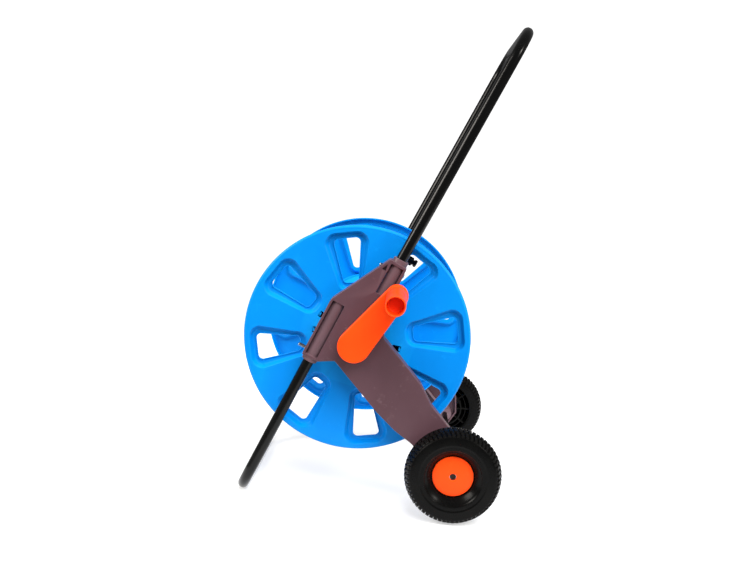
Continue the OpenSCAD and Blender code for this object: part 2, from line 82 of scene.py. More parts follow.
class Shape:
    """Gathers vertices in millimetres about the reel axis: x to the wheels, y across, z up."""

    def __init__(self, place=lambda p: p):
        self.v, self.f, self.place = [], [], place

    def loops(self, rings, ring_closed=True, stack_closed=False):
        """Skins a stack of rings that have the same number of points."""
        n, base = len(rings[0]), len(self.v)
        for ring in rings:
            self.v += [self.place(p) for p in ring]
        for i in range(len(rings) - (0 if stack_closed else 1)):
            for k in range(n if ring_closed else n - 1):
                a, b = base + i * n, base + (i + 1) % len(rings) * n
                self.f.append([a + k, a + (k + 1) % n, b + (k + 1) % n, b + k])

    def lathe(self, profile, seg, to, closed=True):
        """Turns a list of (radius, height) round an axis; to(x, y, h) puts a point in the shape's space."""
        rings = [[to(r * cos(2 * pi * k / seg), r * sin(2 * pi * k / seg), h) for k in range(seg)]
                 for r, h in profile]
        self.loops(rings, stack_closed=closed)

    def fill(self, outlines, to):
        """Flat area inside the first outline and outside the others."""
        pts = [Vector(p[:2]) for o in outlines for p in o]
        edges, base = [], 0
        for o in outlines:
            edges += [(base + i, base + (i + 1) % len(o)) for i in range(len(o))]
            base += len(o)
        verts, _, faces = geometry.delaunay_2d_cdt(pts, edges, [], 0, 1e-6)[:3]
        base = len(self.v)
        self.v += [self.place(to(p.x, p.y)) for p in verts]
        for f in faces:
            c = sum((verts[i] for i in f), Vector((0, 0))) / len(f)
            inside = False
            for a, b in edges:
                p, q = pts[a], pts[b]
                if (p.y > c.y) != (q.y > c.y) and c.x < (q.x - p.x) * (c.y - p.y) / (q.y - p.y) + p.x:
                    inside = not inside
            if inside:
                self.f.append([base + i for i in f])

    def cap(self, n, after=0):
        """Closes a ring of n points that was added last, or before as many points as after says."""
        base = len(self.v) - n - after
        self.f.append(list(range(base, base + n)))

    def make(self, name, body, material, replaces, angle):
        """Builds the piece; edges sharper than the angle stay crisp."""
        mesh = bpy.data.meshes.new(name)
        mesh.from_pydata([world(p) for p in self.v], [], self.f)
        bm = bmesh.new()
        bm.from_mesh(mesh)
        bmesh.ops.remove_doubles(bm, verts=bm.verts, dist=2e-6)
        bmesh.ops.dissolve_degenerate(bm, edges=bm.edges, dist=1e-6)
        bmesh.ops.recalc_face_normals(bm, faces=bm.faces)
        bm.to_mesh(mesh)
        bm.free()
        mesh.shade_smooth()
        mesh.set_sharp_from_angle(angle=radians(angle))
        ob = bpy.data.objects.new(name, mesh)
        bpy.context.scene.collection.objects.link(ob)
        mesh.materials.append(material)
        soft = ob.modifiers.new("weights", "WEIGHTED_NORMAL")
        soft.keep_sharp = True
        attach(ob, body)
        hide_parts(*replaces)


def arc(cx, cy, r, a0, a1, n):
    """Points from angle a0 to angle a1 in n steps."""
    return [(cx + r * cos(radians(a0 + (a1 - a0) * k / n)), cy + r * sin(radians(a0 + (a1 - a0) * k / n)))
            for k in range(n + 1)]


def circle(r, n, cx=0, cy=0):
    return [(cx + r * cos(2 * pi * k / n), cy + r * sin(2 * pi * k / n)) for k in range(n)]


def inset(pts, d):
    """Moves a clockwise outline's straight edges inwards."""
    out = []
    for i, b in enumerate(pts):
        a, c = Vector(pts[i - 1]), Vector(pts[(i + 1) % len(pts)])
        b = Vector(b)
        u, v = (b - a).normalized(), (c - b).normalized()
        p, q = b + d * Vector((u.y, -u.x)), b + d * Vector((v.y, -v.x))
        turn = u.x * v.y - u.y * v.x
        if abs(turn) < 1e-6:
            out.append(p)
        else:
            w = q - p
            out.append(p + u * ((w.x * v.y - w.y * v.x) / turn))
    return out


def fillet(pts, radius, n=5):
    """Rounds every corner of an outline; each corner gives n + 1 points."""
    out = []
    for i, b in enumerate(pts):
        a, b, c = Vector(pts[i - 1]), Vector(b), Vector(pts[(i + 1) % len(pts)])
        u, v = (a - b), (c - b)
        cut = min(radius, 0.4 * u.length, 0.4 * v.length)
        p, q = b + u.normalized() * cut, b + v.normalized() * cut
        for k in range(n + 1):
            t = k / n
            out.append(tuple(p * (1 - t) ** 2 + b * 2 * t * (1 - t) + q * t * t))
    return out


def side_at(y):
    """Puts (x, z, depth) on the side of the cart whose face lies at y; depth runs to the middle."""
    sign = 1 if y > 0 else -1
    return lambda a, b, depth: (a, y - sign * depth, b)


def tube_line(y, lean, x0):
    """Puts (across, sideways, along) on a tube's line in the side view."""
    c, s = cos(radians(lean)), sin(radians(lean))
    return lambda t, w, h: (x0 + h * c + t * s, y + w, h * s - t * c)


def rounded_tube(r0, r1, h0, h1, e=0.6):
    """Closed profile of a tube with softened ends."""
    return [(r0, h0), (r1 - e, h0), (r1 - 0.3 * e, h0 + 0.3 * e), (r1, h0 + e),
            (r1, h1 - e), (r1 - 0.3 * e, h1 - 0.3 * e), (r1 - e, h1), (r0, h1)]


def threaded(r, h0, h1, pitch=1.0):
    """Closed profile of a rod with a ridge at every pitch and a bevelled end at h0."""
    out, h = [(0, h0), (r - 0.7, h0), (r - 0.35, h0 + 0.5)], h0 + 0.8
    while h < h1 - pitch:
        out += [(r - 0.35, h), (r, h + 0.35 * pitch), (r, h + 0.5 * pitch), (r - 0.35, h + 0.85 * pitch)]
        h += pitch
    return out + [(r - 0.2, h1), (0, h1)]


# ------------------------------------------------------------ materials

class Nodes:
    """A small helper over a material's node tree."""

    def __init__(self, name):
        self.mat = bpy.data.materials.new(name)
        self.mat.use_nodes = True
        self.tree = self.mat.node_tree
        self.bsdf = self.tree.nodes["Principled BSDF"]
        self.where = self.add("ShaderNodeTexCoord").outputs["Object"]

    def add(self, kind, **values):
        node = self.tree.nodes.new(kind)
        for key, value in values.items():
            if key in node.inputs:
                self.put(node.inputs[key], value)
            else:
                setattr(node, key, value)
        return node

    def put(self, socket, value):
        if isinstance(value, bpy.types.NodeSocket):
            self.tree.links.new(value, socket)
        else:
            socket.default_value = value

    def noise(self, scale, detail=3.0, rough=0.5, stretch=None):
        vector = self.where
        if stretch:
            vector = self.add("ShaderNodeMapping", Vector=vector, Scale=stretch).outputs[0]
        node = self.add("ShaderNodeTexNoise", Vector=vector, Scale=scale, Detail=detail, Roughness=rough)
        return node.outputs["Fac"]

    def span(self, fac, lo, hi, a, b):
        """Maps lo to hi onto a to b."""
        node = self.add("ShaderNodeMapRange", Value=fac)
        for i, value in enumerate((lo, hi, a, b)):
            node.inputs[i + 1].default_value = value
        return node.outputs[0]

    def mix(self, fac, a, b):
        node = self.add("ShaderNodeMix", data_type="RGBA")
        self.put(node.inputs[0], fac)
        self.put(node.inputs[6], a)
        self.put(node.inputs[7], b)
        return node.outputs[2]

    def bump(self, height, strength, distance, normal=None):
        node = self.add("ShaderNodeBump", Height=height, Strength=strength, Distance=distance)
        if normal:
            self.put(node.inputs["Normal"], normal)
        return node.outputs[0]

    def set(self, **values):
        for key, value in values.items():
            self.put(self.bsdf.inputs[key.replace("_", " ")], value)
        return self.mat


def rgb(r, g, b):
    """An sRGB colour of 0 to 255 as linear light."""
    linear = [((c / 255 + 0.055) / 1.055) ** 2.4 if c > 10 else c / 255 / 12.92 for c in (r, g, b)]
    return (*linear, 1.0)


def edge_highlight_mask(n, lo=0.52, hi=0.62):
    """1 on convex edges, where a painted highlight stands in for the light that rounded edges catch."""
    return n.span(n.add("ShaderNodeNewGeometry").outputs["Pointiness"], lo, hi, 0, 1)


def plastic(name, base, dark, light, rough, grain, grain_depth, shine):
    """Moulded plastic: flow marks in the colour, a fine mould grain, small scuffs and a painted highlight
    along the edges.
    """
    n = Nodes(name)
    flow = n.span(n.noise(9, 4, 0.6, (1, 1, 0.45)), 0.35, 0.65, 0, 1)
    colour = n.mix(flow, base, dark)
    colour = n.mix(n.span(n.noise(55, 5, 0.7), 0.60, 0.78, 0, 0.3), colour, light)
    # painted highlight: convex edges are mixed towards the lighter tone, standing in for light caught by
    # rounded edges
    colour = n.mix(n.span(edge_highlight_mask(n), 0, 1, 0, 0.6), colour, light)
    scuffs = n.span(n.noise(140, 6, 0.75, (1, 1, 7)), 0.62, 0.70, 0, 1)
    roughness = n.span(n.noise(24, 5, 0.65), 0.3, 0.7, rough - 0.05, rough + 0.07)
    fine = n.bump(n.noise(grain, 2, 0.5), grain_depth, 0.0004)
    waves = n.bump(n.noise(16, 2, 0.4), 0.12, 0.0012, fine)
    return n.set(Base_Color=colour, Roughness=roughness, Normal=n.bump(scuffs, 0.05, 0.0002, waves),
                 Specular_IOR_Level=shine)


def metal(name, base, dark, rough, along, stain):
    """Plated or drawn steel: fine lines along the work, cloudy plating and dull spots."""
    n = Nodes(name)
    clouds = n.span(n.noise(70, 4, 0.6), 0.4, 0.7, 0, 1)
    colour = n.mix(clouds, base, dark)
    colour = n.mix(n.span(n.noise(260, 5, 0.7), 0.62, 0.72, 0, stain), colour, rgb(94, 75, 54))
    lines = n.noise(420, 3, 0.6, along)
    roughness = n.span(n.noise(90, 4, 0.6), 0.3, 0.7, rough - 0.06, rough + 0.12)
    return n.set(Base_Color=colour, Metallic=1.0, Roughness=roughness, Normal=n.bump(lines, 0.12, 0.0002))


PLUM = plastic("plum moulding", rgb(81, 58, 65), rgb(74, 52, 58), rgb(140, 118, 123), 0.36, 900, 0.10, 0.25)
BLUE = plastic("blue moulding", rgb(0, 122, 206), rgb(0, 115, 197), rgb(20, 160, 238), 0.36, 500, 0.04, 0.12)
ORANGE = plastic("orange moulding", rgb(246, 72, 16), rgb(238, 64, 13), rgb(250, 96, 38),
                 0.36, 600, 0.05, 0.10)
BLACK = plastic("black moulding", rgb(9, 9, 9), rgb(7, 7, 7), rgb(26, 26, 27), 0.32, 800, 0.08, 0.15)
RUBBER = plastic("seal rubber", rgb(16, 16, 16), rgb(20, 19, 18), rgb(38, 38, 38), 0.55, 900, 0.06, 0.15)
BRIGHT = metal("bright steel", rgb(163, 165, 168), rgb(144, 146, 150), 0.24, (1, 1, 0.2), 0.10)
ZINC = metal("zinc plated steel", rgb(141, 143, 143), rgb(118, 120, 118), 0.38, (0.2, 1, 1), 0.18)
# Drawn steel rod, darker than the plated parts; part of that darkness is painted shade for the axle's end,
# which sits in a shaded hole in the wheel cap
SHADED_DRAWN = metal("drawn steel rod", rgb(56, 52, 49), rgb(44, 41, 39), 0.45, (1, 0.03, 1), 0.16)


def enamel():
    """Satin black enamel on steel tube: a slight orange peel, dust and small grey rubbed spots."""
    n = Nodes("black enamel")
    dust = n.span(n.noise(38, 6, 0.7), 0.5, 0.75, 0, 1)
    colour = n.mix(dust, rgb(3, 3, 3), rgb(8, 8, 8))
    rubs = n.span(n.noise(320, 6, 0.8, (1, 1, 0.35)), 0.70, 0.74, 0, 0.3)
    colour = n.mix(rubs, colour, rgb(24, 24, 25))
    roughness = n.span(n.noise(30, 5, 0.6), 0.3, 0.7, 0.20, 0.27)
    peel = n.bump(n.noise(90, 2, 0.5), 0.01, 0.0003)
    return n.set(Base_Color=colour, Roughness=roughness, Normal=peel, Specular_IOR_Level=0.22)


def tyre():
    """Moulded satin black wheel: a little dust, a painted highlight that greys the edges, and a fine grain.
    """
    n = Nodes("black tyre")
    dust = n.span(n.noise(26, 6, 0.7), 0.45, 0.75, 0, 1)
    colour = n.mix(dust, rgb(4, 4, 4), rgb(8, 8, 7))
    # painted highlight: convex edges are greyed, standing in for light caught by the tread's edges
    colour = n.mix(n.span(edge_highlight_mask(n, 0.53, 0.66), 0, 1, 0, 0.4), colour, rgb(24, 23, 22))
    roughness = n.span(n.noise(40, 4, 0.6), 0.3, 0.7, 0.22, 0.32)
    grain = n.bump(n.noise(700, 3, 0.6), 0.10, 0.0004)
    return n.set(Base_Color=colour, Roughness=roughness, Normal=n.bump(n.noise(60, 3), 0.08, 0.0008, grain),
                 Specular_IOR_Level=0.09)


ENAMEL, TYRE = enamel(), tyre()


# ------------------------------------------------------------ bent tubes

def bent_tube(name, node, lean, x0, start, end):
    """A U of tube: two legs from start and a bar at end, with open leg ends."""
    line = tube_line(0, lean, x0)
    up = 1 if end > start else -1
    bore, edge = TUBE_R - TUBE_WALL, TUBE_R - 0.3
    path = [(-LEG_Y, start), (-LEG_Y, start + up * 30), (-LEG_Y, end - up * (BEND_R + 60))]
    path += [(-LEG_Y + BEND_R - BEND_R * cos(a), end - up * BEND_R + up * BEND_R * sin(a))
             for a in (radians(3.75 * k) for k in range(25))]
    path += [(-60, end), (0, end), (60, end)]
    path += [(-w, h) for w, h in reversed(path[:-3])]
    last = len(path) - 1

    def ring(r, i, deep=0):
        """Points round the tube at a point of its path, or deeper inside the leg from there."""
        w, h = path[i]
        d = (Vector(path[min(i + 1, last)]) - Vector(path[max(i - 1, 0)])).normalized()
        return [line(r * cos(a), w + r * sin(a) * d.y, h + up * deep - r * sin(a) * d.x)
                for a in (2 * pi * k / 40 for k in range(40))]

    shape = Shape()
    shape.loops([ring(bore, 0, 25), ring(bore, 0), ring(edge, 0), ring(TUBE_R, 0, 0.4)]
                + [ring(TUBE_R, i) for i in range(1, last)]
                + [ring(edge, last), ring(bore, last), ring(bore, last, 25)])
    shape.make(name, "frame", ENAMEL, [node], 38)


bent_tube("handle", "handle_tube", HANDLE_LEAN, 0, *HANDLE_S)
bent_tube("foot", "foot_tube", FOOT_LEAN, FOOT_X0, *FOOT_S)


# ------------------------------------------------------------ flanges

def window_loop(t, window_out, n=8, straight=5):
    """Outline between the dish (t = 0) and the window (t = 1), as (radius, sideways)."""
    def quad(r_in, r_out, half_in, half_out, r):
        """A tapered opening with rounded corners: n steps to a corner, straight steps to an edge."""
        corners = [arc(r_out - r, half_out - r, r, 0, 90, n), arc(r_in + r, half_in - r, r, 90, 180, n),
                   arc(r_in + r, r - half_in, r, 180, 270, n), arc(r_out - r, r - half_out, r, 270, 360, n)]
        out = []
        for i, c in enumerate(corners):
            out += c
            a, b = Vector(c[-1]), Vector(corners[(i + 1) % 4][0])
            out += [tuple(a.lerp(b, k / straight)) for k in range(1, straight)]
        return out
    dish, hole = quad(86, 188.5, 23.5, 38.5, 20), quad(100, window_out, 14, 23, 8)
    return [(a[0] + (b[0] - a[0]) * t, a[1] + (b[1] - a[1]) * t) for a, b in zip(dish, hole)]


# Section of a dish as (place between dish and window, depth), and of the outer rim as (radius, depth)
DISH = [(-0.07, 0), (-0.02, 0.12), (0.04, 0.6), (0.09, 1.6), (0.13, 2.8), (0.33, 7.4), (0.38, 8.3),
        (0.45, 8.9), (0.56, 9.2), (0.82, 9.3), (0.86, 9.0), (0.90, 8.2), (0.925, 7.9), (0.975, 7.9),
        (1.0, 8.5), (1.0, 11.2), (0.98, 11.7), (0.92, 12.0), (0.56, 12.0), (0.44, 11.6), (0.36, 10.8),
        (0.08, 5.0), (0.03, 3.9), (-0.02, 3.2), (-0.07, 3.0)]
RIM = [(193.2, 0), (193.6, 0.35), (194.4, 0.35), (195, 0.1), (196.6, 0.3), (198.4, 1.1), (199.5, 2.6),
       (200, 4.6), (200, 11.2), (199.6, 11.8), (197.8, 11.8), (197.2, 11.2), (197, 5.4), (196.2, 3.8),
       (194.6, 3.1), (193.2, 3)]


def turned(pts, degrees_on):
    """Points turned about the reel's axis."""
    c, s = cos(radians(degrees_on)), sin(radians(degrees_on))
    return [(u * c - v * s, u * s + v * c) for u, v in pts]


def flange(side, window_out):
    """A side of the reel: flat web with a rolled rim, dished windows, drum ring, hub and four slots."""
    to = side_at(side * FLANGE_Y)
    shape = Shape()
    shape.lathe(RIM, 192, to, closed=False)
    slot = fillet([(64, 5.5), (79.4, 5.5), (79.4, -5.5), (64, -5.5)], 1.5, 3)
    openings = [circle(FLANGE_HUB[0], 48)]
    openings += [turned(slot, a + m * 11.25) for a in (158.75, 338.75) for m in (-1, 1)]
    for pts in openings:
        shape.loops([[to(p[0], p[1], depth) for p in pts] for depth in (0, WALL)])
    edges = []
    for angle in (WINDOW_TURN + 360 / WINDOWS * k for k in range(WINDOWS)):
        loops = [(turned(window_loop(t, window_out), angle), depth) for t, depth in DISH]
        shape.loops([[to(p[0], p[1], depth) for p in pts] for pts, depth in loops])
        edges.append(loops[0][0])
    outlines = [circle(RIM[0][0], 192)] + openings + edges
    for depth in (0, WALL):
        shape.fill(outlines, lambda a, b: to(a, b, depth))
    shape.lathe(rounded_tube(*DRUM_RING, 2, 9), 128, to)
    shape.lathe(rounded_tube(*FLANGE_HUB, 2, 9), 64, to)
    name = "near" if side < 0 else "far"
    shape.make(name + "_reel_side", "reel", BLUE, [name + "_flange"], 50)


flange(-1, 177.5)
flange(1, 174)


# ------------------------------------------------------------ side brackets

OUTLINE = [(54, 148.5), (82, 133.5), (68, 100), (50, 58), (49, 12.5), (80, -22), (115, -62), (136, -99),
           (200, -172), (202, -207), (186, -231), (165, -230), (104, -168), (76, -148), (43, -117),
           (-33, -31), (-64, -34), (-90, -22), (-43.5, 75.5)]


def on_line(lean, x0, t, s):
    """A point of the side view, t beside a tube's line and s along it."""
    c, k = cos(radians(lean)), sin(radians(lean))
    return (x0 + s * c + t * k, s * k - t * c)


def bracket(side):
    """Moulded side wall with an edge wall, two tube sleeves, hub, axle boss, pocket and ribs."""
    to = side_at(side * FACE_Y)
    shape = Shape()
    reach = hypot(WHEEL.x, WHEEL.z)

    def wall_depth(p):
        """The wall is full depth at the head and thins along the arm to the wheel."""
        far = (p[0] * WHEEL.x + p[1] * WHEEL.z) / reach
        return BACK_DEPTH - 14 * min(max((far - 50) / 170, 0), 1)

    def ring(d, radius, depth, bottom=None):
        """The outline d inside its edge, at a depth or at bottom above the wall's lower edge."""
        pts = fillet(inset(OUTLINE, d), radius)
        return [to(p[0], p[1], depth if bottom is None else wall_depth(q) - bottom)
                for p, q in zip(pts, fillet(OUTLINE, 3))]

    shape.loops([ring(1.9, 2, 0), ring(1.3, 2.2, 0), ring(0.75, 2.5, 0.12), ring(0.3, 2.8, 0.5),
                 ring(0.05, 3, 1.1), ring(0, 3, 1.8), ring(0, 3, 0, 0.6), ring(0.25, 3, 0, 0.15),
                 ring(0.8, 2.6, 0, 0), ring(2.4, 2, 0, 0), ring(2.9, 2, 0, 0.4), ring(3, 2, 5),
                 ring(3.3, 2, 3.7), ring(4.3, 2, WALL)])
    bores = [circle(HUB_BORE_R, 48), circle(AXLE_BORE_R, 24, WHEEL.x, WHEEL.z)]
    collars = [circle(20.5, 48), circle(7, 24, WHEEL.x, WHEEL.z)]
    front = [[tuple(p)[:2] for p in fillet(inset(OUTLINE, 1.9), 2)]]
    back = [[tuple(p)[:2] for p in fillet(inset(OUTLINE, 4.3), 2)]]
    lips = [(-1, 0), (-0.6, 0), (-0.2, 0.15), (0, 0.6), (0, WALL)]
    for lean, x0, t0, t1, s0, s1 in ((HANDLE_LEAN, 0, -12, 11, 96, 151),
                                     (FOOT_LEAN, FOOT_X0, -11.4, 10.6, -27, 76)):
        slot = [on_line(lean, x0, t, s) for t, s in ((t0, s1), (t1, s1), (t1, s0), (t0, s0))]
        rings = [(fillet(inset(slot, d), 1, 3), depth) for d, depth in lips]
        shape.loops([[to(p[0], p[1], depth) for p in pts] for pts, depth in rings])
        front.append([tuple(p)[:2] for p in rings[0][0]])
        back.append([tuple(p)[:2] for p in rings[-1][0]])
    mouth = fillet([(40, 131.5), (50, 140), (46.5, 128)], 1, 3)
    block = [(36, 129.5), (51.5, 143), (48.5, 126)]
    pocket_depth, block_depth = 7, 9
    shape.loops([[to(p[0], p[1], depth) for p in mouth] for depth in (0, pocket_depth)])
    shape.fill([mouth], lambda a, b: to(a, b, pocket_depth))
    shape.loops([[to(p[0], p[1], depth) for p in block] for depth in (WALL, block_depth)])
    shape.fill([block], lambda a, b: to(a, b, block_depth))
    shape.fill(front + collars + [mouth], lambda a, b: to(a, b, 0))
    shape.fill(back + bores + [block], lambda a, b: to(a, b, WALL))
    for collar, bore in zip(collars, bores):
        steps = ((collar, 0), (bore, 0), (bore, WALL))
        shape.loops([[to(p[0], p[1], depth) for p in c] for c, depth in steps])
    at_axle = lambda a, b, depth: to(a + WHEEL.x, b + WHEEL.z, depth)
    shape.lathe(rounded_tube(HUB_BORE_R, 30, 2, BACK_DEPTH), 64, to)
    shape.lathe(rounded_tube(AXLE_BORE_R, 14, 2, BACK_DEPTH), 48, at_axle)
    for line, s0, s1, cs, bolt in (
            (tube_line(side * LEG_Y, HANDLE_LEAN, 0), 93, 158, 152, HANDLE_BOLT_S),
            (tube_line(side * LEG_Y, FOOT_LEAN, FOOT_X0), -32, 79, -38, FOOT_BOLT_S)):
        shape.lathe(rounded_tube(BORE_R, SLEEVE_R, s0, s1), 64, line)
        shape.lathe(rounded_tube(BORE_R, COLLAR_R, cs, cs + 12, 0.9), 64, line)
        across = lambda a, b, h, line=line, bolt=bolt: line(h, a, b + bolt)
        shape.lathe(rounded_tube(3.3, 7, -14, -11, 0.8), 40, across)
        shape.lathe(rounded_tube(3.3, 7, 11, 14, 0.5), 40, across)
    u = Vector((WHEEL.x, WHEEL.z)).normalized()
    v = Vector((-u.y, u.x))
    rib_depth = 14
    for a, b, c, d in ((32, 255, -1.4, 1.4), (93, 96, -33, 31), (176, 179, -31, 28)):
        pts = [u * a + v * c, u * b + v * c, u * b + v * d, u * a + v * d]
        shape.loops([[to(p.x, p.y, depth) for p in pts] for depth in (rib_depth, 2)])
        shape.cap(4, after=4)
    name = "near" if side < 0 else "far"
    shape.make(name + "_side_bracket", "frame", PLUM, [name + "_bracket"], 40)


bracket(-1)
bracket(1)


# ------------------------------------------------------------ clamp bolts and knob

BOLT_HEAD = [(0, 14.2), (5.2, 14.2), (5.2, 15), (4.6, 16.3), (3, 17.1), (1.6, 17.4), (1.6, 16.2), (0, 16.2)]
KNOB_LOBES = 7


def across_tube(side, lean, x0, s):
    """Puts (along the tube, across it, outwards) where a bolt crosses the tube."""
    line = tube_line(side * LEG_Y, lean, x0)
    return lambda a, b, h: line(h, a, b + s)


def clamp_bolts():
    shape = Shape()
    for side, lean, x0, s in ((-1, HANDLE_LEAN, 0, HANDLE_BOLT_S), (-1, FOOT_LEAN, FOOT_X0, FOOT_BOLT_S),
                              (1, FOOT_LEAN, FOOT_X0, FOOT_BOLT_S)):
        across = across_tube(side, lean, x0, s)
        shape.lathe(threaded(BOLT_R, BOLT_TIP, 14.6), 24, across)
        shape.lathe(BOLT_HEAD, 32, across)
    shape.make("bolts", "frame", BRIGHT, ["clamp_bolts"], 30)


def clamp_knob():
    """The stud, and the lobed knob with a neck, a groove and an end rim that is moulded onto it."""
    across = across_tube(1, HANDLE_LEAN, 0, HANDLE_BOLT_S)
    stud = Shape()
    stud.lathe(threaded(BOLT_R, BOLT_TIP, 26), 24, across)
    stud.make("stud", "knob", BRIGHT, ["knob_stud"], 30)

    def lobed(r, depth, h):
        """A ring at height h whose radius swings by depth."""
        turns = [2 * pi * k / 140 for k in range(140)]
        reaches = [r + depth * cos(KNOB_LOBES * a) for a in turns]
        return [across(reach * cos(a), reach * sin(a), h) for a, reach in zip(turns, reaches)]

    knob = Shape()
    knob.loops([lobed(r, d, h) for r, d, h in (
        (3, 0, 14.3), (5, 0, 14.3), (5.6, 0, 15), (5.6, 0, 20.4), (6.6, 0.3, 21), (7.6, 1.2, 22),
        (8.0, 1.5, 23.5), (8.0, 1.5, 31.6), (7.4, 1.1, 33.2), (5.8, 0.3, 34), (5.3, 0.1, 35),
        (5.4, 0.1, 36.2), (6.6, 0.4, 37), (7.2, 0.7, 38.2), (7.1, 0.7, 41.2), (6.4, 0.4, 42.6),
        (5.2, 0.1, 43), (4.8, 0, 42.4), (3, 0, 42.4), (0.01, 0, 42.4))])
    knob.loops([lobed(0.01, 0, 14.3), lobed(3, 0, 14.3)])
    knob.make("lobed_knob", "knob", BLACK, ["clamp_knob"], 40)


clamp_bolts()
clamp_knob()


# ------------------------------------------------------------ crank and grip

def arm_outline(d):
    """Outline round both ends of the arm, d inside the edge."""
    length = hypot(GRIP.x, GRIP.z)
    spread, axis = degrees(acos((ARM_HUB_R - ARM_TIP_R) / length)), degrees(atan2(GRIP.z, GRIP.x))
    tip = arc(GRIP.x, GRIP.z, ARM_TIP_R - d, axis - spread, axis + spread, 28)
    hub = arc(0, 0, ARM_HUB_R - d, axis + spread, axis + 360 - spread, 40)
    out = []
    for part, nxt in ((tip, hub), (hub, tip)):
        out += part
        a, b = Vector(part[-1]), Vector(nxt[0])
        out += [tuple(a.lerp(b, k / 8)) for k in range(1, 8)]
    return out


def crank_ribs(shape, to):
    """Three ribs inside the arm, closer together at the grip's end."""
    u = Vector((GRIP.x, GRIP.z)).normalized()
    v = Vector((-u.y, u.x))
    start, end, half_t = 15, hypot(GRIP.x, GRIP.z) - 11, 0.9
    for h in (-7, 0, 7):
        pts = [u * start + v * (h - half_t), u * end + v * (h * 0.7 - half_t),
               u * end + v * (h * 0.7 + half_t), u * start + v * (h + half_t)]
        edge = inset([tuple(q) for q in reversed(pts)], 0.3)[::-1]
        rings = ((pts, 2), (pts, 15.6), (edge, 16))
        shape.loops([[to(p.x, p.y, depth) for p in ring] for ring, depth in rings])
        shape.cap(4)


def crank():
    """The arm, open at the back, with a square shank at its hub and a boss for the grip's stud."""
    to = side_at(-ARM_FACE_Y)
    at_tip = lambda a, b, d: to(a + GRIP.x, b + GRIP.z, d)
    shape = Shape()
    steps = [(2.6, 0), (1.7, 0.15), (0.9, 0.6), (0.3, 1.4), (0, 2.6), (0.1, 17.3), (0.5, 17.9), (1.2, ARM_T),
             (2.3, ARM_T), (2.8, 17.6), (3, 5), (3.5, 3.6), (4.6, WALL)]
    shape.loops([[to(p[0], p[1], depth) for p in arm_outline(d)] for d, depth in steps])
    shape.fill([arm_outline(2.6)], lambda a, b: to(a, b, 0))
    shape.fill([arm_outline(4.6)], lambda a, b: to(a, b, WALL))
    shape.lathe(rounded_tube(2.55, 16, 2, ARM_T), 48, to)
    shape.lathe(rounded_tube(6.05, 12, 2, ARM_T), 48, at_tip)
    crank_ribs(shape, to)
    half, shank_end = 9.95, 57
    shank = fillet([(-half, half), (half, half), (half, -half), (-half, -half)], 1.2)
    narrow = [(q[0] * 0.95, q[1] * 0.95) for q in shank]
    shape.loops([[to(p[0], p[1], depth) for p in ring]
                 for ring, depth in ((narrow, 17), (shank, 17.5), (shank, 55.8), (narrow, shank_end))])
    shape.fill([narrow], lambda a, b: to(a, b, shank_end))
    shape.make("crank", "reel", ORANGE, ["crank_arm"], 40)


def grip():
    """A cup that is open at its outer end, on a stud that runs into the arm."""
    shape = Shape()
    cup = [(0, -18.3), (5.4, -18.3), (6, -17.7), (6, 0.4), (8.1, 0.4), (8.5, 0.8), (8.5, 75.6), (9.4, 76.5),
           (13.8, 76.5), (14.7, 75.6), (14.7, 1), (15.1, 0.4), (16.3, 0.4), (17.2, 1.2), (17.5, 2.4),
           (17.1, 30), (16.75, 65), (16.4, 98), (16.3, 99.8), (15.9, 100.6), (15.2, 100.9), (14.6, 100.6),
           (14.25, 99.9), (14.2, 98.5), (14.1, 84), (13.6, 81.2), (12.2, 79.6), (10, 79), (0, 79)]
    shape.lathe(cup, 96, lambda a, b, h: (GRIP.x + a, -ARM_FACE_Y - h, GRIP.z + b))
    shape.make("grip_cup", "grip", ORANGE, ["crank_grip"], 40)


crank()
grip()


# ------------------------------------------------------------ wheels

CROWN = [(0, 82.5), (10, 80.5), (17, 77.6), (20.6, 75.8)]
GROOVE, LUGS = 3.2, 62


def crown(w):
    """Radius of the tread at a distance from the middle of the wheel's width."""
    w = abs(w)
    for (a, ra), (b, rb) in zip(CROWN, CROWN[1:]):
        if w <= b:
            return ra + (rb - ra) * (w - a) / (b - a)
    return CROWN[-1][1]


def tread_lugs(shape, to):
    """Four rows of slanted blocks, the two inner rows half a step on."""
    step = 2 * pi / LUGS
    half, slant = step * 0.29, 0.010
    for w0, w1, shift in ((-19.9, -11.2, 0), (-9.8, -0.8, 0.5), (0.8, 9.8, 0.5), (11.2, 19.9, 0)):
        mid = (w0 + w1) / 2
        for middle in (step * (k + shift) for k in range(LUGS)):
            rings = []
            for spread, narrow, up in ((1.12, 1, -GROOVE - 0.6), (1.0, 1.0, -0.45), (0.82, 0.82, -0.05)):
                ring = []
                for a, w in ((-1, w0), (1, w0), (1, w1), (-1, w1)):
                    across = mid + (w - mid) * narrow
                    r = crown(across) + up
                    lean = (slant if w == w1 else -slant) * (1 if w0 < 0 else -1)
                    t = middle + a * half * spread + lean
                    ring.append(to(r * cos(t), r * sin(t), across + WHEEL_MID))
                rings.append(ring)
            shape.loops(rings)
            shape.cap(4)


def wheel_spokes(shape, to):
    """Ten ribs behind the web."""
    for k in range(10):
        c, s = cos(2 * pi * k / 10), sin(2 * pi * k / 10)
        rings = [[to(r * c - w * s, r * s + w * c, h) for r, w in ((13, -q), (56, -q), (56, q), (13, q))]
                 for q, h in ((1.2, 24), (1.2, 6.6), (0.8, 6.1))]
        shape.loops(rings)
        shape.cap(4)


